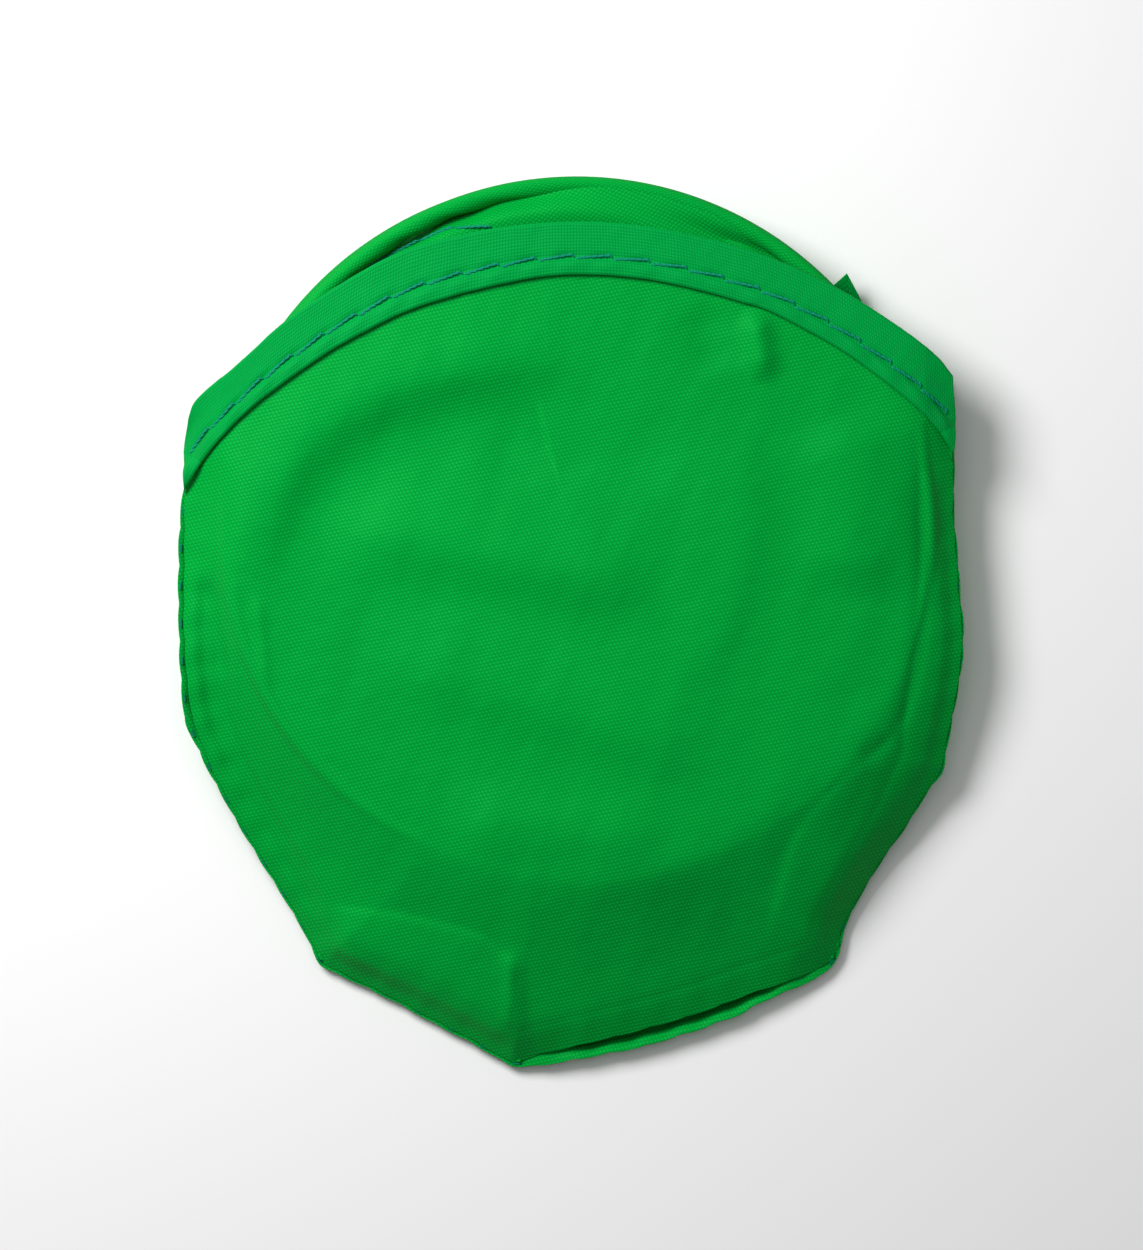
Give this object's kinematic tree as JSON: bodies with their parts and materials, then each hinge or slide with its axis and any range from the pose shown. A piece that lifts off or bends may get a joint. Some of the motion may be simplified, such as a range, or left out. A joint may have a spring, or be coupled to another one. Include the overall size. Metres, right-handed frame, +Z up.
{
  "type": "folded pop-up rope storage bag in pouch",
  "caption": "Pop-up cloth rope bag, twist-folded into a flat disc on its spring hoop and stowed in an arched-mouth pouch that it slides out of.",
  "frame": {"origin": "middle of the base, under the centre of the bounding box", "axes": "the pouch lies on its back panel: +Y points out of its mouth, +X across it, +Z up from the front panel"},
  "size_m": [0.1062, 0.1204, 0.0139],
  "materials": {
    "panel_cloth": "thin plain-weave nylon with a soft sheen",
    "binding_cloth": "ribbed matt nylon",
    "bag_cloth": "thin plain-weave nylon with a soft sheen",
    "thread": "twisted polyester thread",
    "spring_steel": "blued spring steel"
  },
  "bodies": {
    "pouch": {"pouch_back_panel": "panel_cloth", "pouch_front_panel": "panel_cloth", "back_mouth_binding": "binding_cloth", "back_binding_stitching": "thread", "seam_stitching": "thread"},
    "front_lip": {"front_mouth_lip": "panel_cloth", "front_mouth_binding": "binding_cloth", "front_binding_stitching": "thread"},
    "folded_bag": {"spring_hoop": "spring_steel", "hoop_ferrule": "spring_steel", "hoop_sleeve": "bag_cloth", "sleeve_stitching": "thread", "bag_wall": "bag_cloth", "bag_base_panel": "bag_cloth"}
  },
  "joints": [
    {"name": "lip_fold", "type": "hinge", "parent": "pouch", "child": "front_lip", "pos_m": [0, 0.0199, 0.0122], "axis": [0.9989, 0.0479, 0], "range_deg": [0, 50]},
    {"name": "bag_slide", "type": "slide", "parent": "pouch", "child": "folded_bag", "axis": [0, 1, 0], "range_m": [0, 0.115]}
  ]
}
